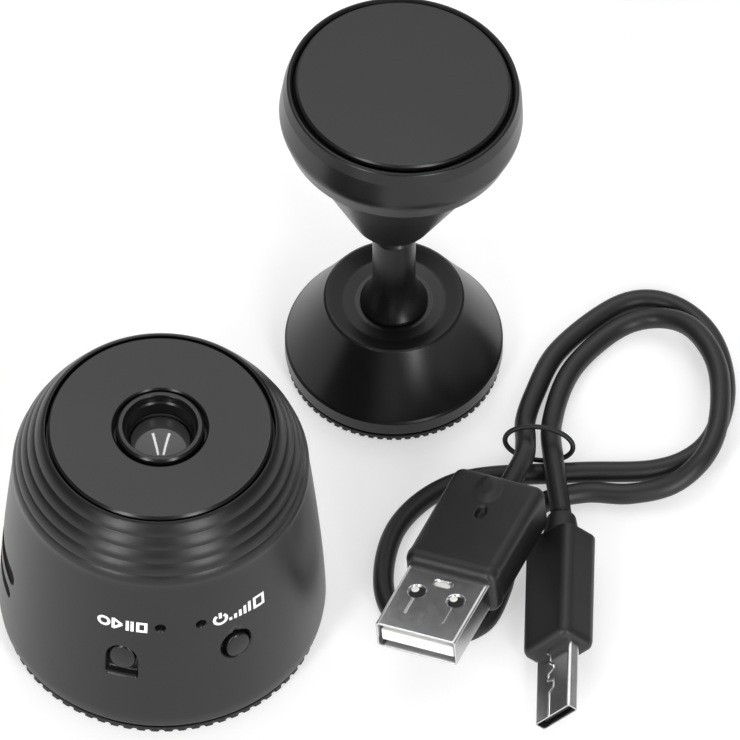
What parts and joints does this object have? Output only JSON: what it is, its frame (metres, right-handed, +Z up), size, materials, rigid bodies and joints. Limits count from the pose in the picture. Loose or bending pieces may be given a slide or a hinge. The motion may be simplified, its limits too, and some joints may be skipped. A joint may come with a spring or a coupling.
{
  "type": "dash camera set",
  "caption": "Small round dash camera that rests lens-up on its flat base, with side buttons and ports, a magnetic ball-joint stand and a short looped charging lead.",
  "frame": {"origin": "centre of the camera unit's flat base, where its steel disc meets the surface it stands on", "axes": "+Z up along the camera's lens axis; -Y is the camera's button side; +X is towards the charging lead"},
  "size_m": [0.1018, 0.0833, 0.0616],
  "materials": {
    "case_plastic": "satin",
    "cover_plastic": "semi-gloss",
    "dark_plastic": "matt",
    "lens_glass": "polished",
    "circuit_board": "lacquered",
    "chip_plastic": "matt",
    "foil": "satin",
    "steel": "brushed",
    "bright_plate": "bright nickel plate",
    "stand_paint": "satin black coat",
    "pad_plastic": "semi-gloss",
    "foot_rubber": "matt",
    "seat_plastic": "natural",
    "contact_plastic": "moulded",
    "lead_rubber": "satin"
  },
  "bodies": {
    "camera": {"housing": "case_plastic", "bottom_cover": "case_plastic", "front_cover": "cover_plastic", "lens_bezel": "cover_plastic", "lens_barrel": "dark_plastic", "lens_holder": "dark_plastic", "port_insert": "dark_plastic", "base_ring": "dark_plastic", "lens_glass": "lens_glass", "rear_lens": "lens_glass", "infrared_led_1": "lens_glass", "infrared_led_2": "lens_glass", "infrared_led_3": "lens_glass", "infrared_led_4": "lens_glass", "sensor_board": "circuit_board", "led_board": "circuit_board", "main_board": "circuit_board", "switch_board": "circuit_board", "image_sensor": "chip_plastic", "processor": "chip_plastic", "battery": "foil", "microphone_capsule": "foil", "reset_capsule": "foil", "board_spacer_1": "steel", "board_spacer_2": "steel", "mode_switch": "steel", "power_switch": "steel", "steel_disc": "steel", "bottom_screw_1": "steel", "bottom_screw_2": "steel", "bottom_screw_3": "steel", "usb_socket": "bright_plate", "card_socket": "bright_plate"},
    "mode_button": {"mode_button": "cover_plastic"},
    "power_button": {"power_button": "cover_plastic"},
    "memory_card": {"memory_card": "chip_plastic"},
    "stand": {"stand_base": "stand_paint", "stand_foot_ring": "dark_plastic", "stand_pad": "foot_rubber", "stem_with_ball": "stand_paint", "stem_screw": "steel"},
    "swivel": {"swivel_seat": "seat_plastic"},
    "tilt": {"tilt_seat": "seat_plastic"},
    "head": {"pressure_cup": "seat_plastic", "seat_spring": "steel", "head_collar": "stand_paint", "head_shell": "stand_paint", "spring_plate": "steel", "magnet": "bright_plate", "magnet_yoke": "steel", "face_pad": "pad_plastic"},
    "lead": {"usb_a_moulding": "lead_rubber", "usb_a_shell": "bright_plate", "usb_a_tongue": "contact_plastic", "micro_usb_moulding": "lead_rubber", "micro_usb_shell": "bright_plate", "micro_usb_tongue": "chip_plastic", "lead_cord": "lead_rubber", "lead_tie": "lead_rubber"}
  },
  "joints": [
    {"name": "mode_press", "type": "slide", "parent": "camera", "child": "mode_button", "axis": [0.247, 0.969, 0], "range_m": [0, 0.0006], "stiffness_N_per_m": 900, "springref_m": -0.0004},
    {"name": "power_press", "type": "slide", "parent": "camera", "child": "power_button", "axis": [-0.4939, 0.8695, 0], "range_m": [0, 0.0006], "stiffness_N_per_m": 900, "springref_m": -0.0004},
    {"name": "card_pull", "type": "slide", "parent": "camera", "child": "memory_card", "axis": [-1, 0, 0], "range_m": [0, 0.016]},
    {"name": "stand_lift", "type": "slide", "parent": "camera", "child": "stand", "axis": [0, 0, 1], "range_m": [0, 0.08]},
    {"name": "swivel_turn", "type": "hinge", "parent": "stand", "child": "swivel", "pos_m": [0.0319, 0.0427, 0.036], "axis": [0, 0, 1], "continuous": true},
    {"name": "head_tilt", "type": "hinge", "parent": "swivel", "child": "tilt", "pos_m": [0.0319, 0.0427, 0.036], "axis": [-0.6947, 0.7193, 0], "range_deg": [-35, 24]},
    {"name": "head_turn", "type": "hinge", "parent": "tilt", "child": "head", "pos_m": [0.0319, 0.0427, 0.036], "axis": [0.0502, 0.0485, 0.9976], "continuous": true},
    {"name": "lead_lift", "type": "slide", "parent": "camera", "child": "lead", "axis": [0, 0, 1], "range_m": [0, 0.06]}
  ]
}
